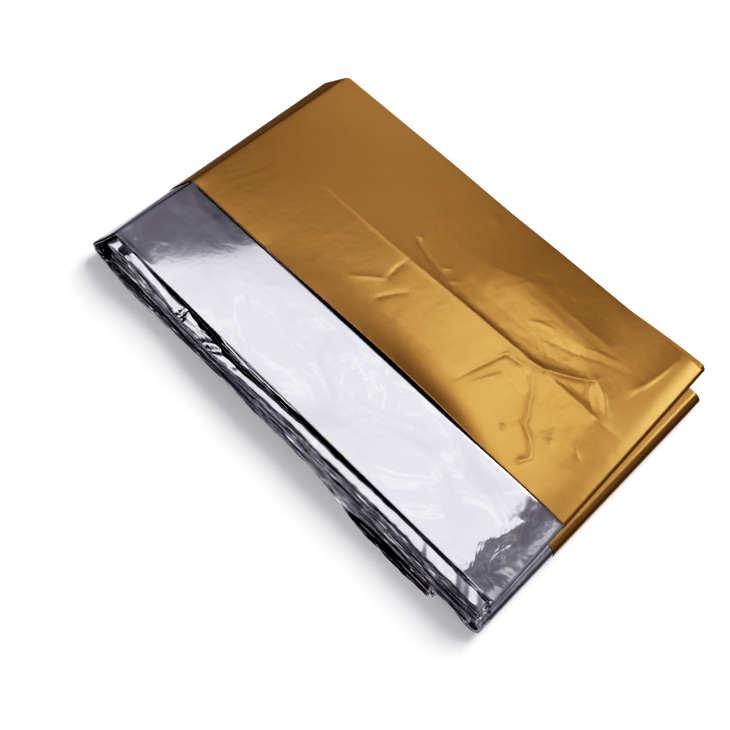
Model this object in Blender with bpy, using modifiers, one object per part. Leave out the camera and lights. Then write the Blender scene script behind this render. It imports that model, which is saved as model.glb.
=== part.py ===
"""A metallised emergency blanket, gold on one side and silver on the other, folded to a flat packet.

The blanket is one sheet. Across its width it is creased into a long strip, and the strip is laid
back and forth in eight runs, which lie a little apart. Two bundles of four runs are joined by one
long turn at the left end, and end in rounded turns at the right. X runs along the packet, Y across
it and Z up, from the middle of the packet's base. It rests on the flat underside of the lowest run.
"""

from collections import namedtuple

import bmesh
import bpy
import numpy as np

MM = 0.001

SHEET = 1.0
PACKET_LENGTH = 132.0
MOUTH_LENGTH = 48.0
CUT_EDGE_FROM_FRONT = 26.0
CUT_EDGE_STEP = 0.35
CUT_EDGE_RAMP = 0.5
CUT_EDGE_FADE = 6.0

# The top run's front edge gapes near the left end: how high, how far in, and over what length.
GAPE = 0.8
GAPE_DEPTH = 24.0
GAPE_LENGTH = 46.0

STACK_WAVE = 0.25
STACK_WAVE_PITCH = 95.0
EDGE_WOBBLE = 0.35
EDGE_WOBBLE_PITCH = 37.0

# One row for each run in the order of the strip, which starts inside the lower bundle. Heights are
# those of the sheet's middle. The flat part ends at right on the front edge and at right plus skew
# on the back edge. A length here or below is in millimetres.
Run = namedtuple("Run", "name height_left height_right left right skew front_left front_right back_left back_right")
RUNS = (
    Run("lower core", 2.90, 2.05, 2.5, 130.0, 2.8, -3.6, -4.8, 84.0, 85.0),
    Run("lower core lid", 4.25, 3.55, 2.0, 130.0, 2.8, -3.2, -4.6, 83.6, 84.6),
    Run("lower lid", 5.60, 5.05, 2.0, 131.5, 3.0, -3.6, -4.6, 83.2, 84.6),
    Run("lowest", 0.50, 0.50, 0.0, 131.5, 3.0, -4.3, -5.3, 81.4, 85.2),
    Run("top", 11.15, 11.15, 0.0, 131.3, 0.3, 0.0, 0.0, 87.2, 87.2),
    Run("under top", 9.70, 9.62, 1.2, 131.3, 0.3, -1.2, -2.8, 85.6, 90.2),
    Run("upper floor lid", 8.30, 8.10, 1.2, 131.0, 0.4, -2.4, -3.2, 84.6, 89.6),
    Run("upper floor", 6.95, 6.58, 1.8, 131.0, 0.4, -3.2, -3.6, 84.0, 87.6),
)
TOP = 4

# The lowest run stands out in front of the others, and steps back sharply near the right end.
LOWEST_FRONT = (
    (-6, -3.3),
    (0, -4.3),
    (11, -5.0),
    (46, -4.1),
    (78, -4.2),
    (101, -6.7),
    (121, -6.6),
    (122, -3.4),
    (134, -5.3),
)

# A turn that isn't round, by the run before it: its reach past the flat parts at the front and at
# the back, how far it leans to its first run at each, and how late its edges leave that run's.
Turn = namedtuple("Turn", "reach_front reach_back lean_front lean_back edge_delay")
LONG_TURNS = {2: Turn(2.6, 2.6, 0.0, 0.0, 1), 3: Turn(4.5, 5.5, 0.75, -0.1, 6)}

RUN_STEPS = 11
TOP_RUN_STEPS = 18
TURN_STEPS = 6
LONG_TURN_STEPS = 11
ROWS_IN_FRONT_OF_CUT = 4
ROWS_BEHIND_CUT = 7

GOLD = (0.72, 0.44, 0.13, 1.0)
SILVER = (0.78, 0.78, 0.82, 1.0)
GOLD_ROUGHNESS = 0.34
SILVER_ROUGHNESS = 0.08


def blend(start, end, share):
    return start + (end - start) * share


def smooth(value):
    """An S-shaped share from 0 to 1, level at both ends."""
    value = np.clip(value, 0, 1)
    return value * value * (3 - 2 * value)


def run_height(run, x):
    return blend(run.height_left, run.height_right, smooth(x / MOUTH_LENGTH))


def front_edge(index, x):
    """Where a run's front edge is at x. Each run between the outer two has its own slow wobble."""
    run = RUNS[index]
    if run.name == "lowest":
        places, edges = zip(*LOWEST_FRONT)
        return np.interp(x, places, edges)
    straight = blend(run.front_left, run.front_right, x / PACKET_LENGTH)
    if index == TOP:
        return straight
    return straight + EDGE_WOBBLE * np.sin(2 * np.pi * x / EDGE_WOBBLE_PITCH + 2.3 * index)


def back_edge(index, x):
    """Where a run's back edge is at x. It departs from its left value over the right half."""
    run = RUNS[index]
    return blend(run.back_left, run.back_right, smooth(2 * x / PACKET_LENGTH - 1))


def run_section(index):
    """A flat run as columns: x, skew share, height, front edge, back edge, share raised at the cut edge."""
    run = RUNS[index]
    steps = TOP_RUN_STEPS if index == TOP else RUN_STEPS
    x = np.linspace(run.left, run.right, steps + 1)
    if run.name == "lowest":
        corners = [place for place, _ in LOWEST_FRONT if run.left < place < run.right]
        x = np.union1d(x, corners)
    skew = run.skew * smooth(x / run.right)
    raised = (index == TOP) * smooth(x / CUT_EDGE_FADE) * smooth((run.right - x) / CUT_EDGE_FADE)
    columns = np.stack((x, x + skew, run_height(run, x), front_edge(index, x), back_edge(index, x), raised))
    return columns[:, ::-1] if index % 2 else columns


def turn_section(index, before, after):
    """Half an ellipse from the end of one run to the start of the next, without its two end points."""
    gap = after - before
    round_reach = abs(gap[2]) / 2
    turn = LONG_TURNS.get(index, Turn(round_reach, round_reach, 0.0, 0.0, 1))
    steps = LONG_TURN_STEPS if index in LONG_TURNS else TURN_STEPS
    angle = np.linspace(0, np.pi, steps + 1)[1:-1]
    share = (1 - np.cos(angle)) / 2
    columns = before[:, None] + gap[:, None] * share
    columns[3:5] = before[3:5, None] + gap[3:5, None] * share**turn.edge_delay
    outward = -1 if index % 2 else 1
    columns[0] += outward * turn.reach_front * np.sin(angle) * (1 + turn.lean_front * np.cos(angle))
    columns[1] += outward * turn.reach_back * np.sin(angle) * (1 + turn.lean_back * np.cos(angle))
    return columns


def strip_section():
    """The whole back-and-forth section, from the free end in the lower bundle to that in the upper."""
    runs = [run_section(index) for index in range(len(RUNS))]
    parts = [runs[0]]
    for index, (run, following) in enumerate(zip(runs, runs[1:])):
        parts += [turn_section(index, run[:, -1], following[:, 0]), following]
    return np.concatenate(parts, axis=1)


def rows_across():
    """Shares of the width at which the sheet has points: two of them bound the step at the cut edge."""
    top = RUNS[TOP]
    width = top.back_left - top.front_left
    near = (CUT_EDGE_FROM_FRONT - CUT_EDGE_RAMP / 2) / width
    far = (CUT_EDGE_FROM_FRONT + CUT_EDGE_RAMP / 2) / width
    return np.concatenate(
        (np.linspace(0, near, ROWS_IN_FRONT_OF_CUT + 1), np.linspace(far, 1, ROWS_BEHIND_CUT + 1))
    )


def stack_wave(x, y):
    """A slow unevenness of the stack, in shares of STACK_WAVE."""
    turn = 2 * np.pi / STACK_WAVE_PITCH
    return np.sin(turn * (x + 0.6 * y)) * np.cos(turn * (1.3 * y - 0.4 * x) + 0.8)


def gape(x, y):
    """How far the top run's front edge lifts near the left end."""
    return GAPE * np.sin(np.pi * np.clip(x / GAPE_LENGTH, 0, 1)) ** 2 * (1 - smooth(y / GAPE_DEPTH))


def sheet_points(section, across):
    """Points of the sheet's middle, as an array by place along the strip and place across it."""
    x_front, x_back, height, front, back, raised = section[:, :, None]
    share = across[None, :]
    x = blend(x_front, x_back, share)
    y = blend(front, back, share)
    behind_cut = (share * (RUNS[TOP].back_left - RUNS[TOP].front_left) > CUT_EDGE_FROM_FRONT) * 1.0
    z = height + raised * (CUT_EDGE_STEP * behind_cut + gape(x, y))
    lowest = RUNS[3].height_left
    z = z + STACK_WAVE * stack_wave(x, y) * (z - lowest) / (RUNS[TOP].height_left - lowest)
    return np.stack((x, y, z), axis=2) * MM


def centre_on_base(mesh, graph_object):
    """Moves the mesh so that the finished solid's base is centred on the origin."""
    graph = bpy.context.evaluated_depsgraph_get()
    corners = np.array(graph_object.evaluated_get(graph).bound_box)
    low, high = corners.min(axis=0), corners.max(axis=0)
    shift = np.array((-(low[0] + high[0]) / 2, -(low[1] + high[1]) / 2, -low[2]))
    coordinates = np.empty(len(mesh.vertices) * 3)
    mesh.vertices.foreach_get("co", coordinates)
    mesh.vertices.foreach_set("co", (coordinates.reshape(-1, 3) + shift).ravel())
    mesh.update()


def foil_material(name, colour, roughness):
    material = bpy.data.materials.new(name)
    material.use_nodes = True
    shader = material.node_tree.nodes["Principled BSDF"]
    shader.inputs["Base Color"].default_value = colour
    shader.inputs["Metallic"].default_value = 1.0
    shader.inputs["Roughness"].default_value = roughness
    return material


def folded_blanket(collection):
    """A flat grid whose points are laid along the section, thickened to the sheet."""
    section = strip_section()
    across = rows_across()
    points = sheet_points(section, across)
    long_count, cross_count = points.shape[:2]

    grid = bmesh.new()
    bmesh.ops.create_grid(grid, x_segments=long_count - 1, y_segments=cross_count - 1, size=0.5)
    mesh = bpy.data.meshes.new("foil_blanket")
    for face in grid.faces:
        face.smooth = True
        row = (face.calc_center_median().y + 0.5) * (cross_count - 1)
        face.material_index = 0 if row > ROWS_IN_FRONT_OF_CUT else 1
    grid.to_mesh(mesh)
    grid.free()

    flat = np.empty(len(mesh.vertices) * 3)
    mesh.vertices.foreach_get("co", flat)
    flat = flat.reshape(-1, 3)
    along = np.rint((flat[:, 0] + 0.5) * (long_count - 1)).astype(int)
    row = np.rint((flat[:, 1] + 0.5) * (cross_count - 1)).astype(int)
    mesh.vertices.foreach_set("co", points[along, row].ravel())
    mesh.update()

    blanket = bpy.data.objects.new("foil_blanket", mesh)
    collection.objects.link(blanket)
    mesh.materials.append(foil_material("gold face", GOLD, GOLD_ROUGHNESS))
    mesh.materials.append(foil_material("silver face", SILVER, SILVER_ROUGHNESS))
    thickness = blanket.modifiers.new("Sheet thickness", "SOLIDIFY")
    thickness.thickness = SHEET * MM
    thickness.offset = 0
    thickness.use_even_offset = True
    thickness.material_offset = 1
    centre_on_base(mesh, blanket)
    return blanket


def main():
    for old in list(bpy.data.objects):
        bpy.data.objects.remove(old, do_unlink=True)
    collection = bpy.data.collections.new("emergency_foil_blanket")
    bpy.context.scene.collection.children.link(collection)
    folded_blanket(collection)


main()
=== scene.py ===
"""An emergency blanket of metallised film, gold on one side and silver on the other, folded flat.

The film is one surface X(s, v). Along s runs the strip's back-and-forth path in eight runs, seen from
the front. Along v the film zigzags across the strip in five plies, so its front folds show silver and
its back folds gold. Lengths below are in millimetres in the packet's own frame: X from the top face's
left end, Y from its front edge and Z from the floor.
"""

import math
from collections import namedtuple

import bpy
import numpy as np
from bpy.props import FloatProperty, FloatVectorProperty, PointerProperty
from mathutils import Matrix, Vector


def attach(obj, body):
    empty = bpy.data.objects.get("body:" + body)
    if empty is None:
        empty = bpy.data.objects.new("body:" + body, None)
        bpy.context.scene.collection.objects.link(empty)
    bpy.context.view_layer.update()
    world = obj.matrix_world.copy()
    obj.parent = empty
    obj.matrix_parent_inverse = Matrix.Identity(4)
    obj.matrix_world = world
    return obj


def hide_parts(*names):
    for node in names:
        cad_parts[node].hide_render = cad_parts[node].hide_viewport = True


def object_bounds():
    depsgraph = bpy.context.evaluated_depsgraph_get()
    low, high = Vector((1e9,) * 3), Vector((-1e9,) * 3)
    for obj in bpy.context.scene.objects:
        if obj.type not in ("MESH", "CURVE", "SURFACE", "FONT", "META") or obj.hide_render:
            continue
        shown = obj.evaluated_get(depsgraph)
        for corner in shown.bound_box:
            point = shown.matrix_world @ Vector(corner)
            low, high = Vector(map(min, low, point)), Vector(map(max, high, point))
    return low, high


bl_info = {
    "name": "Folded foil blanket",
    "version": (1, 0, 0),
    "blender": (4, 5, 0),
    "location": "View3D > Sidebar > Foil blanket",
    "description": "Builds a folded emergency blanket of metallised film and a plain studio around it",
    "category": "Object",
}

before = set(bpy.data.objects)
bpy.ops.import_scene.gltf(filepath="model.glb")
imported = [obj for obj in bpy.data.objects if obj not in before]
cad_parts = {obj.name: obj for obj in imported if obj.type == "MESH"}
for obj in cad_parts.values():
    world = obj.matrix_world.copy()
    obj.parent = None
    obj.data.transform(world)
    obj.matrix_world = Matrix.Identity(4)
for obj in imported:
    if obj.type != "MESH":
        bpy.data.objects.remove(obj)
CAD_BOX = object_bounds()

MM = 0.001
CAD_NODE = "foil_blanket"

# The top face's near left corner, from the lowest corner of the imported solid.
CORNER_INSIDE_BOX = (6.0, 6.7)

PACKET_LENGTH = 132.0
MOUTH_LENGTH = 48.0
CUT_EDGE_FROM_FRONT = 26.0
PLY_COUNT = 5

# One row for each run of the strip, in its order from the free end inside the lower bundle.
Run = namedtuple("Run", "name height_left height_right left right skew back_left back_right step")
RUNS = (
    Run("lower core", 2.90, 2.05, 2.5, 130.0, 2.8, 84.0, 85.0, 1.5),
    Run("lower core lid", 4.25, 3.55, 2.0, 130.0, 2.8, 83.6, 84.6, 1.5),
    Run("lower lid", 5.60, 5.05, 2.0, 131.5, 3.0, 83.2, 84.6, 1.5),
    Run("lowest", 0.50, 0.50, 0.0, 131.5, 3.0, 81.4, 85.2, 1.3),
    Run("top", 11.15, 11.15, 0.0, 131.3, 0.3, 87.2, 87.2, 0.7),
    Run("under top", 9.70, 9.45, 1.2, 131.0, 0.3, 85.6, 90.2, 0.7),
    Run("upper floor lid", 8.30, 8.10, 1.2, 131.0, 0.4, 84.6, 89.6, 1.5),
    Run("upper floor", 6.95, 6.58, 1.8, 131.0, 0.4, 84.0, 87.6, 1.5),
)
TOP = 4
LOWEST = 3
TOP_WIDTH = RUNS[TOP].back_left
STACK_HEIGHT = RUNS[TOP].height_left - RUNS[LOWEST].height_left

# The top run has closer stations where its creases are.
CREASED_FROM = 46.0
CREASED_TO = 128.0
CREASED_STEP = 0.45

# Where the two front folds of each run lie along it, as pairs of X and Y, and how far each fold's front
# hangs: the upper fold and the lower one.
Fronts = namedtuple("Fronts", "upper lower upper_hang lower_hang")
FRONTS = (
    Fronts(
        ((0, -0.4), (42, -0.8), (60, -3.6), (80, -4.3), (132, -4.9)),
        ((0, -0.2), (42, -0.6), (62, -4.2), (132, -4.6)),
        0.20,
        0.10,
    ),
    Fronts(
        ((0, -0.6), (45, -1.0), (66, -3.5), (100, -3.6), (132, -4.2)),
        ((0, -0.8), (45, -1.2), (64, -4.0), (132, -4.3)),
        0.35,
        0.25,
    ),
    Fronts(((0, -3.3), (70, -3.9), (132, -4.2)), ((0, -3.7), (132, -4.5)), 0.35, 0.25),
    Fronts(
        (
            *((-6, -3.1), (0, -4.0), (11, -4.7), (46, -3.8), (78, -3.8)),
            *((101, -4.1), (121, -4.3), (122, -3.2), (134, -5.1)),
        ),
        (
            *((-6, -3.3), (0, -4.3), (11, -5.0), (46, -4.1), (78, -4.2)),
            *((101, -6.7), (121, -6.6), (122, -3.4), (134, -5.3)),
        ),
        0.0,
        0.0,
    ),
    Fronts(
        ((0, 0.0), (132, 0.0)),
        (
            *((0, 0.2), (25, 0.0), (36, -0.6), (45, -1.5), (55, -1.9)),
            *((62, -1.7), (70, -1.3), (80, -0.9), (118, -0.1), (132, -0.2)),
        ),
        0.0,
        0.50,
    ),
    Fronts(
        (
            *((0, -3.0), (10, -2.4), (20, -2.6), (25, -3.0), (30, -3.3)),
            *((36, -3.8), (50, -3.7), (60, -3.4), (70, -2.9), (132, -2.8)),
        ),
        ((0, -2.2), (30, -2.6), (132, -2.2)),
        0.05,
        0.30,
    ),
    Fronts(((0, -2.6), (40, -3.4), (132, -3.0)), ((0, -2.9), (132, -3.3)), 0.35, 0.30),
    Fronts(((0, -3.0), (132, -3.4)), ((0, -3.3), (132, -3.8)), 0.35, 0.30),
)
DROOP_DEPTH = 2.6

# The folds hang less near the right end, where the runs are pressed together.
DROOP_FADE = 0.9
DROOP_FADE_FROM = 116.0
DROOP_FADE_REACH = 10.0

# Near its front edge the lowest run's plies close up towards the floor.
LEDGE_DROOP = 0.6
LEDGE_DEPTH = 3.2
LEDGE_LIFT = ((60, 0.0), (85, 0.25), (103, 0.6), (119, 0.7), (122, 0.3), (130, 0.0))
LEDGE_LIFT_DEPTH = 2.6
LEDGE_LIFT_TO = 6.0
LEDGE_LIFT_FADE = 14.0

# A turn that isn't round, by the run before it: its reach past the flat parts at the front and at
# the back, how far it leans to its first run at each, and how late its edges leave that run's.
Turn = namedtuple("Turn", "reach_front reach_back lean_front lean_back edge_delay back_delay")
LONG_TURNS = {2: Turn(2.6, 2.6, 0.0, 0.0, 1, 1), 3: Turn(4.5, 5.5, 0.75, -0.1, 6, 24)}
TURN_STEPS = 12
LONG_TURN_STEPS = 30

# Near the left end the top fold gapes at the front, and the runs under it are pressed together.
GAPE = 0.15
GAPE_DEPTH = 24.0
GAPE_LENGTH = 46.0
PINCH_DEPTH = 30.0
PINCH = (
    *((0, 0.0), (4, 0.0), (7, -0.45), (9, -0.4), (15, 0.5)),
    *((22, 1.5), (28, 1.8), (35, 1.8), (46, 1.2), (58, 0.0)),
)
PINCH_SHARES = ((0.0, 0.0), (1.2, 0.0), (6.0, 0.35), (9.0, 1.0), (10.3, 1.0), (10.6, 0.0))

# A sine of an uneven edge or face: its pitch and its height.
Wave = namedtuple("Wave", "pitch height")

# The flap is the front of the run under the top one. It is tucked in at one place and crumpled beside.
FLAP = 5
FLAP_DEPTH = 4.0
FLAP_TUCK = 0.9
FLAP_TUCK_AT = 28.5
FLAP_TUCK_REACH = 1.3
FLAP_WAVE_SHARE = 0.4
CRUMPLE_WAVES = (Wave(6.1, 0.22), Wave(3.4, 0.12))
CRUMPLE_MIDDLE = 40.0
CRUMPLE_REACH = 6.0

# The gold ply's cut edge curls up over the silver one, most along the middle of the packet.
CURL = (
    *((0, -0.13), (28, -0.10), (40, 0.35), (50, 0.9)),
    *((75, 1.4), (92, 1.1), (105, 0.3), (114, 0.05), (132, 0.0)),
)
CURL_WIDTH = ((0, 13.0), (50, 17.0), (78, 16.0), (92, 12.0), (105, 7.0), (132, 4.0))
CURL_POWER = 3
CUT_BACK = ((44, 0.0), (56, 0.15), (75, 0.30), (90, 0.20), (104, 0.0))
CUT_BACK_DEPTH = 12.0

STACK_WAVE = 0.25
STACK_WAVE_PITCH = 95.0

EDGE_WAVES = (Wave(41.0, 0.12), Wave(17.3, 0.07), Wave(7.9, 0.06), Wave(4.3, 0.04), Wave(2.6, 0.03))
STRIP_WAVES = (Wave(13.0, 0.004), Wave(6.3, 0.0025), Wave(3.7, 0.001))
END_WAVES = (Wave(8.3, 0.009), Wave(4.7, 0.005), Wave(2.9, 0.003))
LEDGE_WAVES = (Wave(29.0, 0.05), Wave(11.7, 0.05), Wave(6.1, 0.04), Wave(3.3, 0.03))
LEDGE_WAVES_DEPTH = 9.0

# The small waves of the silver face fade between these places.
STRIP_WAVES_FADE = (4.0, 30.0)
END_WAVES_FADE = (108.0, 118.0)
SILVER_FACE_FADE = (24.0, 30.0)

# A crease in the top face: its line, how high it stands (below 0: a groove), and how far its two
# flanks spread, to the left and to the right of the line as it runs.
Crease = namedtuple("Crease", "name line height left right")
GOLD_CREASES = (
    Crease("long crease, thin end", ((22, 53), (62, 52.8)), 0.11, 0.5, 0.4),
    Crease("long crease, line", ((58, 52.8), (82, 53.4), (100, 53.8)), 0.15, 0.5, 0.4),
    Crease("long crease, slopes", ((40, 52.6), (82, 53.4), (102, 53.8)), 0.12, 3.5, 4.5),
    Crease("long crease, right part", ((98, 53.8), (127.5, 53.8)), 0.12, 1.4, 1.0),
    Crease("inner v, long leg", ((49.8, 37), (56.7, 43.6)), 0.13, 0.7, 0.45),
    Crease("inner v, short leg", ((56.7, 43.6), (56.2, 48.3), (56.4, 52.4)), -0.17, 0.45, 1.3),
    Crease("inner tick", ((59.2, 36.9), (59.4, 38.4), (61.3, 41.9), (63.4, 44.8)), -0.14, 0.45, 0.8),
    Crease("behind, first dent", ((51.1, 60.2), (54.6, 58.8), (59.7, 57.1), (66, 56.2)), -0.09, 0.9, 0.5),
    Crease("behind, spot", ((52.6, 61.2), (54.6, 60.2)), 0.14, 0.45, 0.5),
    Crease("behind, arc", ((64.1, 57.3), (66.5, 59.3)), 0.08, 0.4, 0.45),
    Crease("behind, arc lower", ((68.4, 55.4), (70.2, 57.5)), 0.08, 0.4, 0.45),
    Crease("second ridge", ((66, 67.1), (74, 68.4), (83, 72.4), (94, 73)), 0.05, 2.0, 2.0),
    Crease("second ridge, step", ((74, 68.4), (77.9, 60.3)), 0.10, 0.7, 1.8),
    Crease("third ridge", ((94, 73), (104, 72.7), (110, 73.1), (119, 71.9)), 0.06, 1.5, 1.5),
    Crease("high tick", ((61.5, 82.4), (66.4, 80.6)), 0.10, 0.8, 0.9),
    Crease("arc before knot", ((89, 35.5), (90.9, 42.6), (93.3, 50.5), (95.2, 53.1)), -0.16, 0.9, 0.4),
    Crease("arc below", ((92.1, 36.9), (93.9, 41), (96.8, 46.3)), 0.10, 0.4, 0.8),
    Crease(
        "knot ridge",
        ((98, 53), (102.7, 54.2), (107.7, 57), (112.5, 60.2), (114.2, 62.4)),
        0.32,
        1.8,
        0.9,
    ),
    Crease("knot fold", ((93.3, 50.5), (99.1, 51.9)), -0.20, 0.6, 1.1),
    Crease("above knot", ((99, 62), (105, 64), (112, 67.8), (119, 70.5)), -0.07, 0.9, 0.5),
    Crease("above knot, left", ((91.4, 62.9), (93.4, 64.4), (97.4, 65.9)), 0.07, 0.45, 0.8),
    Crease("deep wiggle, head", ((101.5, 51.5), (104.5, 47.8), (106.4, 45.1)), -0.20, 0.7, 1.0),
    Crease(
        "deep wiggle",
        (
            *((105.6, 46), (106.8, 43.6), (108.4, 41.3), (109.1, 39.1)),
            *((112.8, 36.9), (114.6, 35), (115.7, 33)),
        ),
        -0.34,
        0.5,
        0.9,
    ),
    Crease("wiggle foot", ((115.7, 33), (114.5, 30.8), (114.6, 29.4)), -0.20, 0.45, 0.6),
    Crease("tick a", ((105, 34.9), (106.4, 33.8)), -0.16, 0.7, 0.7),
    Crease("tick b", ((115.8, 40.8), (117.1, 39.6)), -0.16, 0.7, 0.7),
    Crease("tick c", ((121.3, 42.3), (125, 42.4)), 0.16, 0.8, 0.8),
    Crease("tick d", ((121.7, 44.6), (126.1, 41.6)), -0.16, 0.8, 0.8),
    Crease("knee", ((114.2, 62.4), (118, 60.5), (121.8, 56.5)), 0.22, 1.2, 0.6),
    Crease("groove from knot", ((113.4, 60.5), (116.3, 56.7), (119.4, 53.9)), -0.18, 0.5, 1.0),
    Crease(
        "end crease",
        ((122.4, 64.6), (123, 68.2), (124.1, 71.2), (125, 76.2), (126, 84)),
        0.26,
        1.4,
        0.6,
    ),
    Crease("far tick", ((106.3, 67.7), (111.7, 70.1), (116.1, 71.7)), 0.08, 0.5, 0.8),
)
STRIP_CREASES = (
    Crease("left crinkle", ((14, 25), (12.5, 19), (13.5, 12)), 0.012, 0.5, 0.8),
    Crease("left arc", ((3, 10), (7, 14), (12, 15.5), (17, 15)), 0.006, 0.5, 1.0),
    Crease("left upper arc", ((2.5, 17), (6, 21), (12, 22.5), (19, 21)), 0.006, 0.5, 1.0),
    Crease("left crinkle foot", ((9.5, 7.2), (11, 8.4)), 0.02, 0.4, 0.6),
    Crease("left edge", ((-2, 0), (14, 0.1)), 0.12, 0.8, 0.8),
    Crease("left tick", ((3.4, 2.2), (4.9, 3.6)), 0.02, 0.4, 0.5),
    Crease(
        "right dent",
        ((119.4, 0.1), (122.7, 4.2), (120, 8.1), (123.3, 12.3), (125, 18.7)),
        0.035,
        0.8,
        0.9,
    ),
    Crease("right glint", ((125.3, 8.4), (127.1, 13.6)), 0.05, 0.4, 0.4),
)

# Broad slopes of the top face: a low roof across it, as pairs of Y and height, from about the middle of
# its length on, and a dip before the nose.
ROOF = ((26, 0.0), (36, 0.02), (45, 0.16), (53.2, 0.36), (56, 0.25), (88, -0.45))
ROOF_FROM = 38.0
ROOF_FULL = 66.0
ROOF_TO = 128.0
ROOF_FADE = 8.0
BACK_RIDGE = ((55, 0.0), (60, 0.16), (67, 0.50), (69.5, 0.56), (74, 0.52), (88, 0.28))
BACK_RIDGE_FROM = 64.0
BACK_RIDGE_FULL = 84.0
BACK_RIDGE_TO = 124.0
BACK_RIDGE_FADE = 20.0
END_DIP = 0.45
END_DIP_FROM = 119.0
END_DIP_FROM_BACK = 124.0
END_DIP_TO = 131.5
END_DIP_BACK = 60.0
END_DIP_POWER = 2.6

# A crease is this share of its height at the ends of its line.
CREASE_TAPER = 0.35

# Fine crumples lie round this point of the gold ply.
KNOT = (106.0, 52.0, 11.6)
KNOT_REACH = 26.0
KNOT_FULL = 7.8

# Darker tones of the film, as factors of its colour, and how far its roughness varies.
DEEP_GOLD = (0.95, 0.90, 0.83)
DULL_SILVER = (0.91, 0.91, 0.91)
ROUGHNESS_SPREAD = 0.03

# The silver face has lines along its front folds, by Y and by height, and crinkles at the right end. Each
# pair is where they start and where they are full. The heights are in metres.
LINES_FROM_FRONT = (-0.6, -1.6)
LINES_UP_TO = (8.8 * MM, 7.6 * MM)
LINES_FULL_FROM = (1.4 * MM, 2.2 * MM)
LINES_OF_TOP_RUN = (10.45 * MM, 10.65 * MM)
CRINKLES_ALONG = (117.0, 121.0)
CRINKLES_FROM_FRONT = (-0.6, 0.4)

# Under the gold ply the others sink, out of the creases' way, between these distances from the front.
SINK = 0.3
SINK_FADE = (27.0, 32.0)
SINK_TO = 86.5
SINK_END_FADE = 4.0

# Rows across the film are close together near the front, and on the gold ply where it has creases.
FRONT_ROWS_TO = 5.0
HIDDEN_SHARES = (0.12, 0.3, 0.5, 0.75, 1.0)
CREASED_ROWS_TO = 76.0
CREASED_ROWS = 112
PLAIN_ROWS = 11

# The room as the flat top mirrors it: a direction is named by its X and Y for a rise of 1. The white
# panel starts at the line through PANEL_CORNER along PANEL_ALONG, and ends at the right and behind.
PANEL_CORNER = (-0.594, 0.392)
PANEL_ALONG = (0.684, 0.729)
PANEL_RIGHT = (0.04, 0.0)
PANEL_BEHIND = (0.675, 0.595)
PANEL_FRONT = (0.0, 0.12)
PANEL_EDGE = (-0.004, 0.006)
PANEL_SHADE = 0.9
PANEL_SHADE_BEHIND = (0.485, 0.54)
PANEL_SHADE_LEFT = (-0.20, -0.40)
PANEL_GLOW = (2.45, 2.38, 2.25, 1.0)
PANEL_GLOW_BEHIND = (0.50, 0.57)
PANEL_GLOW_INSIDE = (0.05, 0.28)
PANEL_BRIGHT = (3.7, 3.55, 3.3, 1.0)
PANEL_BRIGHT_RIGHT = (-0.27, -0.10)
PANEL_WHITE = (1.0, 0.995, 1.04, 1.0)
WINDOW_LEFT = (0.18, 0.26)
WINDOW_RIGHT = (0.58, 0.48)
WINDOW_BEHIND = (0.60, 0.66)
WINDOW_WHITE = (2.2, 2.2, 2.2, 1.0)
ABOVE_HORIZON = (0.1, 0.2)

# Lighter and darker places of the room: the soft edges across X and Y that bound each, as where it starts
# and where it is full, and its level. Those of the ground are named by the direction's X and Z.
Patch = namedtuple("Patch", "name x_edges y_edges level")
WALL_LEVEL = 0.6
WALL_PATCHES = (
    Patch("dim wall at the left", ((-0.20, -0.40),), ((0.46, 0.54), (0.74, 0.66)), -0.70),
    Patch("light wall behind", (), ((0.68, 0.78),), 0.15),
    Patch("dark wall far behind", (), ((0.83, 0.95),), -0.65),
    Patch("light corner", ((-0.38, -0.66), (-1.35, -0.9)), ((0.66, 0.84),), 2.4),
)
SIDE_PATCHES = (
    Patch("light left side", ((-1.3, -2.6),), (), 1.1),
    Patch("light right side", ((0.9, 1.7),), (), 0.4),
    Patch("dark strip at the left", ((-0.70, -0.85),), (), -0.4),
)
GROUND_LEVEL = 0.15
GROUND_PATCHES = (
    Patch("light ground in front", (), ((-0.50, -0.62), (-0.92, -0.80)), 2.0),
    Patch("light ground at the left", ((-0.4, -0.7),), (), 0.9),
    Patch("light ground at the right", ((0.3, 0.6),), (), 0.45),
)
BRIGHTEST_WALL = 3.0
STRIPE_WHITE = (1.0, 0.99, 1.05, 1.0)
GLINT_SHARE = 0.35
BACKDROP = (0.95, 0.95, 0.95, 1.0)

# Tones of the picture, as pairs of what is there and what is shown, both linear.
TONES = (
    *((0.0, 0.0), (0.05, 0.006), (0.10, 0.024), (0.20, 0.11)),
    *((0.30, 0.24), (0.50, 0.52), (0.77, 0.81), (1.0, 1.0)),
)

CAMERA_AZIMUTH = 30.20
CAMERA_ELEVATION = 61.81
CAMERA_ROLL = 15.88
CAMERA_DISTANCE = 224.9
CAMERA_TARGET = (67.75, 26.36, 0.0)
CAMERA_LENS = 41.82
SENSOR_WIDTH = 36.0

# The soft light and the floor, in metres.
KEY_PLACE = (-0.02, 0.85, 0.85)
KEY_SIZE = 0.8
FLOOR_HALF = 3.0


def blend(start, end, share):
    return start + (end - start) * share


def smooth(value):
    """An S-shaped share from 0 to 1, level at both ends."""
    value = np.clip(value, 0, 1)
    return value * value * (3 - 2 * value)


def rising(value, start, end):
    """An S-shaped share from 0 at start to 1 at end."""
    return smooth((value - start) / (end - start))


def table_curve(points, x):
    """Straight lines between the table's pairs."""
    places, values = zip(*points)
    return np.interp(x, places, values)


def waves(table, x, seed):
    """A sum of sines, one for each row of the table, each started at its own place."""
    return sum(
        wave.height * np.sin(2 * np.pi * x / wave.pitch + seed * (2.1 + 1.7 * order))
        for order, wave in enumerate(table)
    )


# One value for each station along the strip's path.
Stations = namedtuple(
    "Stations", "x_front x_back height outer_front inner_front back on_top outer_hang inner_hang run"
)


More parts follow.
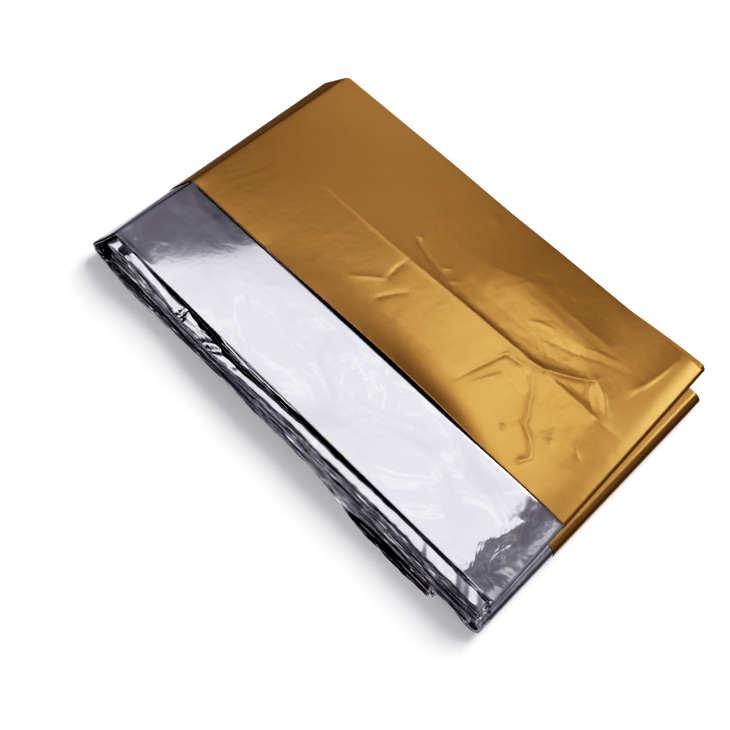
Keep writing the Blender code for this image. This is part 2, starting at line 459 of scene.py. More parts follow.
def run_stations(index):
    """The stations of one run. The strip's outer side is up on an even run and down on an odd one."""
    run, fronts = RUNS[index], FRONTS[index]
    x = np.linspace(run.left, run.right, math.ceil((run.right - run.left) / run.step) + 1)
    if index == TOP:
        x = x[(x < CREASED_FROM) | (x > CREASED_TO)]
        x = np.union1d(x, np.arange(CREASED_FROM, CREASED_TO, CREASED_STEP))
    across = x + run.skew * smooth(x / run.right)
    height = blend(run.height_left, run.height_right, smooth(x / MOUTH_LENGTH))
    straight = 0.15 if index == TOP else 1.0
    upper = table_curve(fronts.upper, x) + straight * waves(EDGE_WAVES, x, index + 0.3)
    lower = table_curve(fronts.lower, x) + waves(EDGE_WAVES, x, index + 0.9)
    hangs = (fronts.upper_hang, fronts.lower_hang)
    outer, inner = (lower, upper) if index % 2 else (upper, lower)
    outer_hang, inner_hang = hangs[::-1] if index % 2 else hangs
    back = blend(run.back_left, run.back_right, smooth(2 * x / PACKET_LENGTH - 1))
    on_top = (index == TOP) * smooth(x / 4) * smooth((run.right - x) / 1.5)
    even = np.ones_like(x)
    hung = (outer_hang * even, inner_hang * even)
    stations = np.stack((x, across, height, outer, inner, back, on_top, *hung, index * even))
    return stations[:, ::-1] if index % 2 else stations


def turn_stations(index, before, after):
    """Half an ellipse from the end of one run to the start of the next, without its two end points."""
    gap = after - before
    round_reach = abs(gap[2]) / 2
    turn = LONG_TURNS.get(index, Turn(round_reach, round_reach, 0.0, 0.0, 1, 1))
    steps = LONG_TURN_STEPS if index in LONG_TURNS else TURN_STEPS
    angle = np.linspace(0, np.pi, steps + 1)[1:-1]
    share = (1 - np.cos(angle)) / 2
    stations = before[:, None] + gap[:, None] * share
    stations[3:5] = before[3:5, None] + gap[3:5, None] * share**turn.edge_delay
    stations[5] = before[5] + gap[5] * share**turn.back_delay
    outward = -1 if index % 2 else 1
    stations[0] += outward * turn.reach_front * np.sin(angle) * (1 + turn.lean_front * np.cos(angle))
    stations[1] += outward * turn.reach_back * np.sin(angle) * (1 + turn.lean_back * np.cos(angle))
    return stations


def strip_path():
    """All stations in order, and the number of the station at which each run starts and ends."""
    runs = [run_stations(index) for index in range(len(RUNS))]
    parts, ends, count = [runs[0]], [(0, runs[0].shape[1] - 1)], runs[0].shape[1]
    for index, (run, following) in enumerate(zip(runs, runs[1:])):
        turn = turn_stations(index, run[:, -1], following[:, 0])
        parts += [turn, following]
        start = count + turn.shape[1]
        count = start + following.shape[1]
        ends.append((start, count - 1))
    return Stations(*(column[:, None] for column in np.concatenate(parts, axis=1))), ends


# One value for each row across the film: share of the strip's width, how far it bulges past the
# fold, its depth in plies from the middle one to the outer side, which front fold its ply belongs to
# (0 outer, 1 inner), and whether it is in the first ply.
Rows = namedtuple("Rows", "share bulge depth inner first")

FOLD_ANGLES = np.linspace(0, np.pi, 7)[1:-1]


def ply_rows(ply, shares):
    """A ply at its own depth, without a bulge. The last two plies belong to the inner front fold."""
    depth = (PLY_COUNT - 1) / 2 - ply
    even = (0.0, depth, float(ply >= 3), float(ply == 0))
    return np.stack((shares, *(np.full(len(shares), value) for value in even)))


def fold_rows(ply, at_back):
    """Half a circle from one ply to the next: it bulges by the sine and changes depth by the cosine."""
    depth = (PLY_COUNT - 1) / 2 - ply - (1 - np.cos(FOLD_ANGLES)) / 2
    count = len(FOLD_ANGLES)
    bulge = np.sin(FOLD_ANGLES) / 2 * (1 if at_back else -1)
    inner = np.full(count, float(ply >= 3))
    if at_back:
        inner = np.linspace(float(ply >= 3), float(ply >= 2), count)
    return np.stack((np.full(count, float(at_back)), bulge, depth, inner, np.zeros(count)))


def film_rows(gold_shares, strip_rows, ledge_rows):
    """The film's zigzag: the first ply starts at its cut edge, and the others have close rows in front."""
    cut = CUT_EDGE_FROM_FRONT / TOP_WIDTH
    near = np.linspace(0, FRONT_ROWS_TO / TOP_WIDTH, ledge_rows + 1)
    hidden = np.concatenate((near, HIDDEN_SHARES))
    strip = np.concatenate((np.linspace(0, cut, strip_rows + 1), (cut + 0.05, 0.5, 0.75, 1.0)))
    parts = [ply_rows(0, gold_shares), fold_rows(0, True), ply_rows(1, strip[::-1])]
    parts += [fold_rows(1, False), ply_rows(2, hidden), fold_rows(2, True), ply_rows(3, hidden[::-1])]
    parts += [fold_rows(3, False), ply_rows(4, hidden[:-1])]
    return Rows(*(row[None, :] for row in np.concatenate(parts, axis=1)))


def gold_rows(creased):
    """Shares of the width for the gold ply, with close rows where its creases are if it has any."""
    cut = CUT_EDGE_FROM_FRONT / TOP_WIDTH
    if not creased:
        return np.linspace(cut, 1, PLAIN_ROWS)
    last_crease = CREASED_ROWS_TO / TOP_WIDTH
    return np.concatenate(
        (np.linspace(cut, last_crease, CREASED_ROWS), np.linspace(last_crease, 1, PLAIN_ROWS)[1:])
    )


def stack_wave(x, y):
    """A slow unevenness of the stack, in shares of STACK_WAVE."""
    turn = 2 * np.pi / STACK_WAVE_PITCH
    return np.sin(turn * (x + 0.6 * y)) * np.cos(turn * (1.3 * y - 0.4 * x) + 0.8)


def mouth(x):
    """How open the front is near the left end: 0 at both ends of the mouth and 1 in its middle."""
    return np.sin(np.pi * np.clip(x / GAPE_LENGTH, 0, 1)) ** 2


def crease_height(crease, x, y):
    """Distance to the nearest leg of the crease's line gives a height that falls off on each flank."""
    nearest = np.full(x.shape, np.inf)
    side = np.ones(x.shape)
    legs = list(zip(crease.line, crease.line[1:]))
    place = np.zeros(x.shape)
    for order, ((x0, y0), (x1, y1)) in enumerate(legs):
        length = math.hypot(x1 - x0, y1 - y0)
        along = np.clip(((x - x0) * (x1 - x0) + (y - y0) * (y1 - y0)) / length**2, 0, 1)
        distance = np.hypot(x - blend(x0, x1, along), y - blend(y0, y1, along))
        closer = distance < nearest
        nearest = np.where(closer, distance, nearest)
        side = np.where(closer, (x1 - x0) * (y - y0) - (y1 - y0) * (x - x0), side)
        place = np.where(closer, (order + along) / len(legs), place)
    width = np.where(side > 0, crease.left, crease.right)
    taper = CREASE_TAPER + (1 - CREASE_TAPER) * np.sin(np.pi * place)
    return crease.height * taper * np.exp(-nearest / width)


def top_relief(x, y):
    """Height of the top face's creases, and of small waves in the silver face near its two ends."""
    relief = sum(crease_height(crease, x, y) for crease in GOLD_CREASES + STRIP_CREASES)
    on_silver = 1 - rising(y, *SILVER_FACE_FADE)
    left_end = 1 - rising(x, *STRIP_WAVES_FADE)
    relief = relief + waves(STRIP_WAVES, x + 0.5 * y, 1.0) * left_end * on_silver
    return relief + waves(END_WAVES, x - 0.7 * y, 2.0) * rising(x, *END_WAVES_FADE) * on_silver


def top_slopes(x, y):
    """The broad slopes: a low roof and a ridge behind it, as tables of Y faded in and out along X, and a
    dip to the nose, a power of the way from its slanting start to its end."""
    roof = rising(x, ROOF_FROM, ROOF_FULL) * smooth((ROOF_TO - x) / ROOF_FADE)
    ridge = rising(x, BACK_RIDGE_FROM, BACK_RIDGE_FULL) * smooth((BACK_RIDGE_TO - x) / BACK_RIDGE_FADE)
    start = END_DIP_FROM + (END_DIP_FROM_BACK - END_DIP_FROM) * y / END_DIP_BACK
    dip = END_DIP * np.clip((x - start) / (END_DIP_TO - start), 0, 1) ** END_DIP_POWER
    return table_curve(ROOF, y) * roof + table_curve(BACK_RIDGE, y) * ridge - dip


def film_points(path, rows, pitch):
    """Points of the film's middle. Y lies between the ply's own front and back folds, and the ply's
    depth is laid off along the strip's normal, which is the path's tangent turned by a right angle.
    The runs' own forms are then added to the height."""
    front = blend(path.outer_front, path.inner_front, rows.inner)
    y = blend(front, path.back, rows.share) + rows.bulge * pitch
    x = blend(path.x_front, path.x_back, rows.share)
    z = np.broadcast_to(path.height, x.shape)
    is_lowest, is_flap = path.run == LOWEST, path.run == FLAP
    under_top = 1 - smooth(1 - np.abs(path.run - TOP))

    foremost = np.minimum(path.outer_front, path.inner_front)
    hang = np.clip(1 - (y - foremost) / DROOP_DEPTH, 0, 1) ** 2
    hang = hang * (1 - DROOP_FADE * smooth((x - DROOP_FADE_FROM) / DROOP_FADE_REACH))
    ledge = waves(LEDGE_WAVES, x + 0.8 * y, path.run)
    ledge = ledge * np.clip(1 - (y - foremost) / LEDGE_WAVES_DEPTH, 0, 1)
    ledge = ledge * np.where(is_flap, FLAP_WAVE_SHARE, 1.0) * under_top * (1 - is_lowest)
    z = z - blend(path.outer_hang, path.inner_hang, rows.inner) * hang + ledge

    tangent_x, tangent_z = np.gradient(x, axis=0), np.gradient(z, axis=0)
    length = np.hypot(tangent_x, tangent_z)
    closed_up = LEDGE_DROOP * np.clip(1 - (y - foremost) / LEDGE_DEPTH, 0, 1) * is_lowest
    depth = rows.depth * pitch * (1 - closed_up) + 2 * pitch * closed_up
    x = x - depth * tangent_z / length
    z = z + depth * tangent_x / length

    inward = y - foremost
    lift = smooth(inward / LEDGE_LIFT_DEPTH) * (1 - smooth((inward - LEDGE_LIFT_TO) / LEDGE_LIFT_FADE))
    z = z + lift * is_lowest * table_curve(LEDGE_LIFT, x)

    flap = is_flap * np.clip(1 - (y - foremost) / FLAP_DEPTH, 0, 1)
    crumpled = np.exp(-(((x - CRUMPLE_MIDDLE) / CRUMPLE_REACH) ** 2))
    tucked = np.exp(-np.abs(x - FLAP_TUCK_AT) / FLAP_TUCK_REACH)
    z = z + flap * (waves(CRUMPLE_WAVES, x - 1.3 * y, 0.7) * crumpled - FLAP_TUCK * tucked)

    cut_back = table_curve(CUT_BACK, x) * np.clip(1 - (y - CUT_EDGE_FROM_FRONT) / CUT_BACK_DEPTH, 0, 1)
    y = y + cut_back * rows.first * path.on_top

    inside = smooth(1 - (y - foremost) / PINCH_DEPTH)
    z = z - table_curve(PINCH, x) * under_top * inside * table_curve(PINCH_SHARES, z)

    flat_from = np.clip(1 - (y - CUT_EDGE_FROM_FRONT) / table_curve(CURL_WIDTH, x), 0, 1)
    curl = table_curve(CURL, x) * flat_from**CURL_POWER * rows.first
    gape = GAPE * mouth(x) * (1 - smooth(y / GAPE_DEPTH))
    covered = (1 - rows.first) * rising(y, *SINK_FADE) * smooth((SINK_TO - y) / SINK_END_FADE)
    relief = blend(top_relief(x, y), -SINK, covered)
    z = z + path.on_top * (relief + gape + curl) + (1 - under_top) * top_slopes(x, y)
    above_lowest = (z - RUNS[LOWEST].height_left) / STACK_HEIGHT
    return x, y, z + STACK_WAVE * stack_wave(x, y) * above_lowest * under_top


def packet_to_frame(x, y, z):
    """Packet millimetres to the frame's metres."""
    x, y, z = (np.asarray(value) * MM for value in (x, y, z))
    return CAD_BOX[0][0] + CORNER_INSIDE_BOX[0] * MM + x, CAD_BOX[0][1] + CORNER_INSIDE_BOX[1] * MM + y, z


def packet_point(x, y, z):
    return Vector([float(value) for value in packet_to_frame(x, y, z)])


class Value:
    """A number socket of a material. Its operators add Math nodes."""

    def __init__(self, graph, socket):
        self.graph = graph
        self.socket = socket

    def math(self, operation, *others):
        sockets = dict(enumerate((self, *others)))
        return self.graph.value("ShaderNodeMath", {"operation": operation}, sockets)

    def soften(self, low, high):
        """An S-shaped share from 0 at low to 1 at high."""
        if low > high:
            return 1.0 - self.soften(high, low)
        sockets = {"Value": self, "From Min": low, "From Max": high}
        return self.graph.value("ShaderNodeMapRange", {"interpolation_type": "SMOOTHSTEP"}, sockets)

    def __add__(self, other):
        return self.math("ADD", other)

    def __mul__(self, other):
        return self.math("MULTIPLY", other)

    def __sub__(self, other):
        return self.math("SUBTRACT", other)

    def __rsub__(self, other):
        return (self * -1.0) + other

    __radd__ = __add__
    __rmul__ = __mul__


class Graph:
    """The node tree of a new material or world."""

    def __init__(self, owner):
        owner.use_nodes = True
        self.owner = owner
        self.tree = owner.node_tree

    def node(self, kind, settings, sockets):
        """A node of that type, with its settings made first and then the values or links of its sockets."""
        node = self.tree.nodes.new(kind)
        for name, setting in settings.items():
            setattr(node, name, setting)
        return self.fill(node, sockets)

    def fill(self, node, sockets):
        """Gives the node's sockets their values or links."""
        for name, given in sockets.items():
            given = given.socket if isinstance(given, Value) else given
            if isinstance(given, bpy.types.NodeSocket):
                self.tree.links.new(given, node.inputs[name])
            else:
                node.inputs[name].default_value = given
        return node

    def value(self, kind, settings, sockets, output=0):
        return Value(self, self.node(kind, settings, sockets).outputs[output])

    def noise(self, vector, scale, detail=2.0, roughness=0.5, distortion=0.0):
        sockets = {"Vector": vector, "Scale": scale, "Detail": detail, "Roughness": roughness}
        return self.value("ShaderNodeTexNoise", {}, {**sockets, "Distortion": distortion})

    def axes(self, vector):
        axes = self.node("ShaderNodeSeparateXYZ", {}, {"Vector": vector}).outputs
        return tuple(Value(self, axis) for axis in axes)

    def place(self, size=(1.0, 1.0, 1.0), turn=0.0):
        """Object coordinates, stretched and turned about Z."""
        coordinates = self.node("ShaderNodeTexCoord", {}, {}).outputs["Object"]
        sockets = {"Vector": coordinates, "Scale": size, "Rotation": (0.0, 0.0, turn)}
        return self.node("ShaderNodeMapping", {}, sockets).outputs[0]

    def bent(self, place, scale, reach):
        """The place, moved about by a noise."""
        noise = self.node("ShaderNodeTexNoise", {}, {"Vector": place, "Scale": scale, "Detail": 2.0})
        sockets = {0: noise.outputs["Color"], "Scale": reach}
        away = self.node("ShaderNodeVectorMath", {"operation": "SCALE"}, sockets)
        sockets = {0: place, 1: away.outputs[0]}
        return self.node("ShaderNodeVectorMath", {"operation": "ADD"}, sockets).outputs[0]

    def mix_colours(self, share, first, second):
        sockets = {"Factor": share, 6: first, 7: second}
        return self.node("ShaderNodeMix", {"data_type": "RGBA"}, sockets).outputs[2]

    def bump(self, height, distance, strength):
        sockets = {"Height": height, "Distance": distance, "Strength": strength}
        return self.node("ShaderNodeBump", {}, sockets).outputs[0]

    def finish(self, sockets):
        self.fill(self.tree.nodes["Principled BSDF"], sockets)
        return self.owner


def toned(colour, factors=(1.0, 1.0, 1.0)):
    """The colour, each channel times its factor, with the alpha that a socket takes."""
    return (*(channel * factor for channel, factor in zip(colour, factors)), 1.0)


def gold_film(settings):
    """Satin gold: a slow change of tone, and fine crumples in the surface."""
    graph = Graph(bpy.data.materials.new("gold film"))
    place = graph.place()
    tone = graph.noise(place, scale=38.0, detail=3.0, roughness=0.55)
    fine = graph.noise(place, scale=420.0, detail=4.0, roughness=0.6, distortion=0.6)
    soft = graph.noise(graph.place((1.0, 0.6, 1.0), turn=0.5), scale=110.0, distortion=0.8)
    sockets = {0: place, 1: tuple(packet_point(*KNOT))}
    from_knot = graph.value("ShaderNodeVectorMath", {"operation": "DISTANCE"}, sockets, "Value")
    near_knot = from_knot.soften(KNOT_REACH * MM, KNOT_FULL * MM)
    crumpled = graph.noise(graph.bent(place, scale=70.0, reach=4 * MM), scale=150.0, detail=3.0, roughness=0.6)
    height = fine * 0.3 + soft * 0.8 + crumpled * near_knot * 1.6
    return graph.finish(
        {
            "Base Color": graph.mix_colours(
                tone, toned(settings.gold_colour), toned(settings.gold_colour, DEEP_GOLD)
            ),
            "Metallic": 1.0,
            "Roughness": tone * ROUGHNESS_SPREAD + (settings.gold_roughness - ROUGHNESS_SPREAD / 2),
            "Normal": graph.bump(height, distance=0.22 * MM, strength=0.5),
        }
    )


def silver_film(settings):
    """Bright silver: a mirror with faint cloudy patches, white wisps and a slight ripple. The front folds
    have lines along them, and the right end is crinkled."""
    graph = Graph(bpy.data.materials.new("silver film"))
    place = graph.place()
    clouded = graph.place((1.0, 1.6, 1.0), turn=0.6)
    cloud = graph.noise(clouded, scale=45.0, detail=3.0, roughness=0.55, distortion=0.8)
    wisped = graph.place((1.0, 1.5, 1.0), turn=-0.3)
    wisp = graph.noise(wisped, scale=38.0, detail=6.0, roughness=0.62, distortion=1.8)
    wisp = (wisp - 0.5).math("ABSOLUTE").soften(0.06, 0.0) * cloud.soften(0.51, 0.64)
    ripple = graph.noise(place, scale=160.0, detail=3.0, distortion=0.5)
    crinkle = graph.noise(graph.bent(place, scale=70.0, reach=4 * MM), scale=100.0, detail=3.0, distortion=0.6)
    lines = graph.noise(graph.place((0.035, 1.0, 1.0)), scale=1000.0).soften(0.38, 0.62)

    along, across, rise = graph.axes(place)
    ahead = across.soften(*(packet_point(0, y, 0).y for y in LINES_FROM_FRONT))
    lower_plies = rise.soften(*LINES_UP_TO) * (0.5 + rise.soften(*LINES_FULL_FROM) * 0.5)
    in_front = ahead * (lower_plies + rise.soften(*LINES_OF_TOP_RUN) * 0.6)
    at_end = along.soften(*(packet_point(x, 0, 0).x for x in CRINKLES_ALONG))
    at_end = at_end * across.soften(*(packet_point(0, y, 0).y for y in CRINKLES_FROM_FRONT))
    height = ripple * 0.3 + lines * in_front * 2.2 + crinkle * at_end * 3.0

    silver = toned(settings.silver_colour)
    dull = toned(settings.silver_colour, DULL_SILVER)
    colour = graph.mix_colours(cloud.soften(0.4, 0.6), dull, silver)
    return graph.finish(
        {
            "Base Color": graph.mix_colours(wisp, colour, toned((1.0, 1.0, 1.0))),
            "Metallic": 1.0,
            "Roughness": cloud * ROUGHNESS_SPREAD + settings.silver_roughness,
            "Normal": graph.bump(height, distance=0.06 * MM, strength=0.8),
        }
    )


class FoilSettings(bpy.types.PropertyGroup):
    """Sizes and colours of the film."""

    film: FloatProperty(
        name="Film",
        description="Thickness at which the film is drawn",
        default=0.05 * MM,
        min=0.01 * MM,
        max=0.2 * MM,
        precision=5,
        unit="LENGTH",
    )
    pitch: FloatProperty(
        name="Ply pitch",
        description="Distance from one ply of the strip to the next",
        default=0.21 * MM,
        min=0.1 * MM,
        max=0.24 * MM,
        precision=5,
        unit="LENGTH",
    )
    gold_colour: FloatVectorProperty(
        name="Gold",
        description="Colour of the gold side",
        default=(0.87, 0.58, 0.27),
        subtype="COLOR",
        min=0,
        max=1,
    )
    silver_colour: FloatVectorProperty(
        name="Silver",
        description="Colour of the silver side",
        default=(0.90, 0.892, 0.93),
        subtype="COLOR",
        min=0,
        max=1,
    )
    gold_roughness: FloatProperty(
        name="Gold roughness",
        description="How far the gold side blurs what it reflects",
        default=0.30,
        min=0,
        max=1,
        subtype="FACTOR",
    )
    silver_roughness: FloatProperty(
        name="Silver roughness",
        description="How far the silver side blurs what it reflects",
        default=0.05,
        min=0,
        max=1,
        subtype="FACTOR",
    )


class StudioSettings(bpy.types.PropertyGroup):
    """Levels of the studio's light."""

    panel: FloatProperty(
        name="Panel",
        description="Brightness of the white panel over the packet",
        default=0.80,
        min=0,
        max=1,
        subtype="FACTOR",
    )
    window: FloatProperty(
        name="Window",
        description="Brightness of the window at the right",
        default=0.85,
        min=0,
        max=1,
        subtype="FACTOR",
    )
    key: FloatProperty(
        name="Key light", description="Brightness of the light from the back right", default=10.5, min=0
    )
    floor_glow: FloatProperty(
        name="Floor glow", description="Brightness of the floor's own glow", default=0.25, min=0, max=2
    )
    room: FloatVectorProperty(
        name="Room",
        description="Colour of the dim walls around",
        default=(0.245, 0.24, 0.262),
        subtype="COLOR",
        min=0,
        max=1,
    )


def film_object(name, rows, first, last, slot, row_span=slice(None)):
    """The part of the film between two stations, as a mesh from its grid, thickened with gold outside."""
    settings = bpy.context.scene.foil_blanket
    path, _ = strip_path()
    points = film_points(path, rows, settings.pitch / MM)
    grid = np.stack(packet_to_frame(*points), axis=2)[first : last + 1, row_span]
    long_count, cross_count = grid.shape[:2]
    corner = (np.arange(long_count - 1)[:, None] * cross_count + np.arange(cross_count - 1)).ravel()
    faces = np.stack((corner, corner + cross_count, corner + cross_count + 1, corner + 1), axis=1)

    mesh = bpy.data.meshes.new(name)
    mesh.from_pydata(grid.reshape(-1, 3), [], faces)
    mesh.shade_smooth()
    film = bpy.data.objects.new(name, mesh)
    bpy.context.scene.collection.objects.link(film)
    mesh.materials.append(film_material("gold film", gold_film, settings))
    mesh.materials.append(film_material("silver film", silver_film, settings))
    thickness = film.modifiers.new("Film thickness", "SOLIDIFY")
    thickness.thickness = settings.film
    thickness.offset = 0
    thickness.material_offset = 1
    thickness.material_offset_rim = 1
    flat_light = film.modifiers.new("Even light at the cut edges", "WEIGHTED_NORMAL")
    flat_light.keep_sharp = True

    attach(film, "root")
    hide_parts(CAD_NODE)
    return film


def film_material(name, make, settings):
    """The material of that name, made once."""
    return bpy.data.materials.get(name) or make(settings)


class FOIL_OT_lower_bundle(bpy.types.Operator):
    """Add the four runs of the lower bundle"""

    bl_idname = "foil.lower_bundle"
    bl_label = "Lower bundle"

    def execute(self, context):
        _, ends = strip_path()
        rows = film_rows(gold_rows(creased=False), strip_rows=10, ledge_rows=6)
        film_object("lower_bundle", rows, 0, ends[3][1], "silver_face")
        return {"FINISHED"}


class FOIL_OT_outer_fold(bpy.types.Operator):
    """Add the wrap at the left end, the top run with its creases, and the nose at its right end"""

    bl_idname = "foil.outer_fold"
    bl_label = "Outer fold"

    def execute(self, context):
        _, ends = strip_path()
        gold = gold_rows(creased=True)
        rows = film_rows(gold, strip_rows=38, ledge_rows=6)
        seam = len(gold) + len(FOLD_ANGLES)
        film_object("gold_ply", rows, ends[3][1], ends[5][0], "gold_face", slice(0, seam + 1))
        film_object("silver_strip", rows, ends[3][1], ends[5][0], "silver_face", slice(seam, None))
        return {"FINISHED"}


class FOIL_OT_upper_bundle(bpy.types.Operator):
    """Add the three runs that lie under the top one"""

    bl_idname = "foil.upper_bundle"
    bl_label = "Upper bundle"

    def execute(self, context):
        _, ends = strip_path()
        rows = film_rows(gold_rows(creased=False), strip_rows=10, ledge_rows=8)
        film_object("upper_bundle", rows, ends[5][0], ends[7][1], "silver_face")
        return {"FINISHED"}


def camera_axes():
    """Right, up and back of the camera, from its azimuth, elevation and roll."""
    azimuth, elevation, roll = (math.radians(a) for a in (CAMERA_AZIMUTH, CAMERA_ELEVATION, CAMERA_ROLL))
    level = Vector((math.cos(azimuth), math.sin(azimuth), 0.0))
    away = Vector((math.sin(azimuth), -math.cos(azimuth), 0.0))
    back = away * math.cos(elevation) + Vector((0.0, 0.0, math.sin(elevation)))
    steep = back.cross(level)
    right = level * math.cos(roll) + steep * math.sin(roll)
    up = steep * math.cos(roll) - level * math.sin(roll)
    return right, up, back


def add_camera():
    right, up, back = camera_axes()
    camera = bpy.data.objects.new("camera", bpy.data.cameras.new("camera"))
    bpy.context.scene.collection.objects.link(camera)
    eye = packet_point(*CAMERA_TARGET) + back * CAMERA_DISTANCE * MM
    matrix = Matrix((right, up, back)).transposed().to_4x4()
    matrix.translation = eye
    camera.matrix_world = matrix
    camera.data.lens = CAMERA_LENS
    camera.data.sensor_width = SENSOR_WIDTH
    camera.data.clip_start = 5 * MM
    bpy.context.scene.camera = camera


def add_key_light(level):
    """A round soft light that faces the packet, as bright from any size."""
    light = bpy.data.lights.new("key", "AREA")
    light.shape = "DISK"
    light.size = KEY_SIZE
    light.energy = level * math.pi * math.pi * KEY_SIZE * KEY_SIZE / 4
    lamp = bpy.data.objects.new("key", light)
    bpy.context.scene.collection.objects.link(lamp)
    lamp.location = KEY_PLACE
    lamp.rotation_euler = (-Vector(KEY_PLACE)).to_track_quat("-Z", "Y").to_euler()
    lamp.visible_glossy = False


def add_floor(glow):
    mesh = bpy.data.meshes.new("floor")
    corners = [(-1, -1), (1, -1), (1, 1), (-1, 1)]
    mesh.from_pydata([(x * FLOOR_HALF, y * FLOOR_HALF, 0) for x, y in corners], [], [(0, 1, 2, 3)])
    floor = bpy.data.objects.new("floor", mesh)
    bpy.context.scene.collection.objects.link(floor)
    graph = Graph(bpy.data.materials.new("white floor"))
    grain = graph.noise(graph.place(), scale=900.0)
    graph.finish(
        {
            "Base Color": (0.86, 0.86, 0.86, 1.0),
            "Roughness": grain * 0.1 + 0.6,
            "Emission Color": (1.0, 1.0, 1.0, 1.0),
            "Emission Strength": glow,
            "Specular IOR Level": 0.2,
        }
    )
    mesh.materials.append(graph.owner)
    floor.visible_glossy = False


def with_patches(level, patches, x, y):
    """The level plus each patch, which is its own level times its soft edges."""
    for patch in patches:
        share = patch.level
        for axis, edges in ((x, patch.x_edges), (y, patch.y_edges)):
            for start, full in edges:
                share = axis.soften(start, full) * share
        level = share + level
    return level


def room_walls(graph, direction, right, behind, rise, x, y):
    """Brightness of the walls and the ground: the walls end at the horizon, and the front is dark."""
    clouds = graph.noise(direction, scale=5.0, detail=3.0, roughness=0.6)
    walls = behind.soften(0.02, 0.3) * with_patches(clouds * 0.7 + WALL_LEVEL, WALL_PATCHES, x, y)
    walls = with_patches(walls, SIDE_PATCHES, x, y)
    ground = with_patches(GROUND_LEVEL, GROUND_PATCHES, right, rise)
    return walls * rise.soften(0.0, 0.1) + ground * rise.soften(0.02, -0.1)


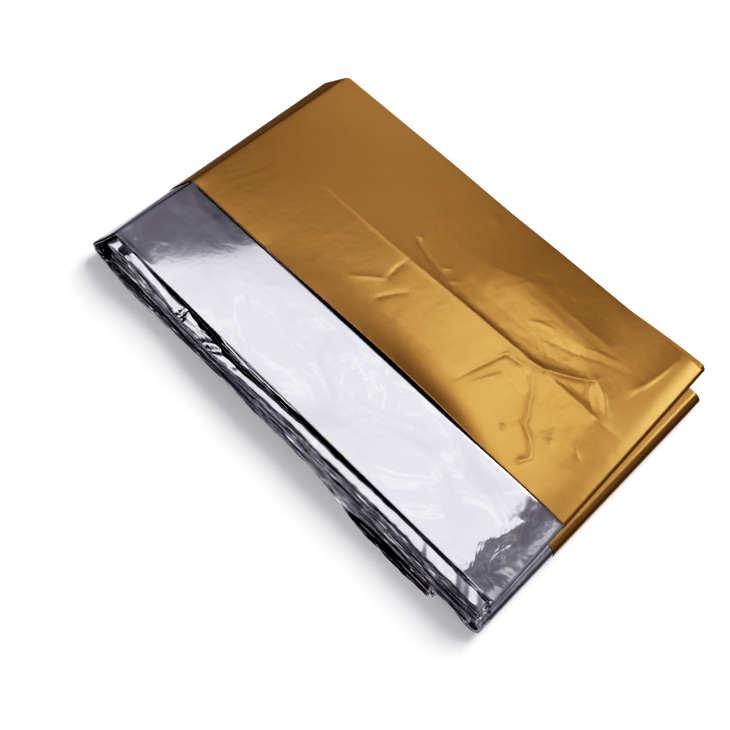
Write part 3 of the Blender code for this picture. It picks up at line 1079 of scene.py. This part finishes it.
def add_room(settings):
    """The room by direction: a white panel overhead, a window at the right, dim walls behind and a dark
    front. The camera itself sees a pale backdrop where the floor ends."""
    world = bpy.data.worlds.new("room")
    bpy.context.scene.world = world
    graph = Graph(world)
    direction = graph.node("ShaderNodeTexCoord", {}, {}).outputs["Generated"]
    right, behind, rise = graph.axes(direction)
    level = rise.math("MAXIMUM", 0.05)
    x = right.math("DIVIDE", level)
    y = behind.math("DIVIDE", level)
    above = rise.soften(*ABOVE_HORIZON)

    inward = (x - PANEL_CORNER[0]) * PANEL_ALONG[1] - (y - PANEL_CORNER[1]) * PANEL_ALONG[0]
    panel = inward.soften(*PANEL_EDGE) * x.soften(*PANEL_RIGHT) * above
    panel = panel * y.soften(*PANEL_BEHIND) * y.soften(*PANEL_FRONT)
    panel = panel * (1.0 - y.soften(*PANEL_SHADE_BEHIND) * x.soften(*PANEL_SHADE_LEFT) * PANEL_SHADE)
    glow = panel * y.soften(*PANEL_GLOW_BEHIND) * inward.soften(*PANEL_GLOW_INSIDE)
    bright = glow * x.soften(*PANEL_BRIGHT_RIGHT)
    window = x.soften(*WINDOW_LEFT) * x.soften(*WINDOW_RIGHT) * y.soften(*WINDOW_BEHIND) * above

    walls = room_walls(graph, direction, right, behind, rise, x, y)
    sockets = {"X": x * 0.5, "Y": y * 4.0, "Z": 0.0}
    striped = graph.node("ShaderNodeCombineXYZ", {}, sockets).outputs[0]
    stripes = graph.noise(striped, scale=1.3, detail=3.0, roughness=0.6).soften(0.53, 0.58)
    stripes = stripes * behind.soften(0.10, 0.0)
    glints = graph.noise(direction, scale=10.0, detail=3.0, roughness=0.55, distortion=0.8).soften(0.46, 0.62)
    glints = glints * x.soften(0.05, 0.12) * x.soften(0.8, 0.6) * y.soften(0.54, 0.48) * above

    shade = graph.mix_colours(
        walls * (1 / BRIGHTEST_WALL), toned((0.0, 0.0, 0.0)), toned(settings.room, [BRIGHTEST_WALL] * 3)
    )
    shade = graph.mix_colours(stripes, shade, STRIPE_WHITE)
    shade = graph.mix_colours(glints * GLINT_SHARE, shade, STRIPE_WHITE)
    shade = graph.mix_colours(panel * settings.panel, shade, PANEL_WHITE)
    shade = graph.mix_colours(glow * settings.panel, shade, PANEL_GLOW)
    shade = graph.mix_colours(bright * settings.panel, shade, PANEL_BRIGHT)
    shade = graph.mix_colours(window * settings.window, shade, WINDOW_WHITE)
    seen = graph.node("ShaderNodeLightPath", {}, {}).outputs["Is Camera Ray"]
    graph.fill(graph.tree.nodes["Background"], {"Color": graph.mix_colours(seen, shade, BACKDROP)})


def set_tones(view_settings):
    """The photograph's contrast: dark tones are pressed down, and light ones are kept."""
    view_settings.view_transform = "Standard"
    view_settings.use_curve_mapping = True
    curve = view_settings.curve_mapping.curves[3]
    curve.points[0].location = TONES[0]
    curve.points[1].location = TONES[-1]
    for place, level in TONES[1:-1]:
        curve.points.new(place, level)
    view_settings.curve_mapping.update()


class FOIL_OT_studio(bpy.types.Operator):
    """Add the floor, the camera and the studio light"""

    bl_idname = "foil.studio"
    bl_label = "Studio"

    def execute(self, context):
        settings = context.scene.foil_studio
        add_floor(settings.floor_glow)
        add_room(settings)
        add_key_light(settings.key)
        add_camera()
        set_tones(context.scene.view_settings)
        return {"FINISHED"}


class FOIL_PT_sidebar(bpy.types.Panel):
    """Lists the blanket's settings and pieces"""

    bl_idname = "FOIL_PT_sidebar"
    bl_label = "Foil blanket"
    bl_space_type = "VIEW_3D"
    bl_region_type = "UI"
    bl_category = "Foil blanket"

    def draw(self, context):
        for settings in (context.scene.foil_blanket, context.scene.foil_studio):
            for name in settings.__annotations__:
                self.layout.prop(settings, name)
        for operator in OPERATORS:
            self.layout.operator(operator.bl_idname)


OPERATORS = (FOIL_OT_lower_bundle, FOIL_OT_outer_fold, FOIL_OT_upper_bundle, FOIL_OT_studio)
CLASSES = (FoilSettings, StudioSettings, *OPERATORS, FOIL_PT_sidebar)


def register():
    for added in CLASSES:
        bpy.utils.register_class(added)
    bpy.types.Scene.foil_blanket = PointerProperty(type=FoilSettings)
    bpy.types.Scene.foil_studio = PointerProperty(type=StudioSettings)


def unregister():
    del bpy.types.Scene.foil_studio
    del bpy.types.Scene.foil_blanket
    for added in reversed(CLASSES):
        bpy.utils.unregister_class(added)


def main():
    register()
    bpy.ops.foil.studio()
    bpy.ops.foil.lower_bundle()
    bpy.ops.foil.outer_fold()
    bpy.ops.foil.upper_bundle()


if __name__ == "__main__":
    main()
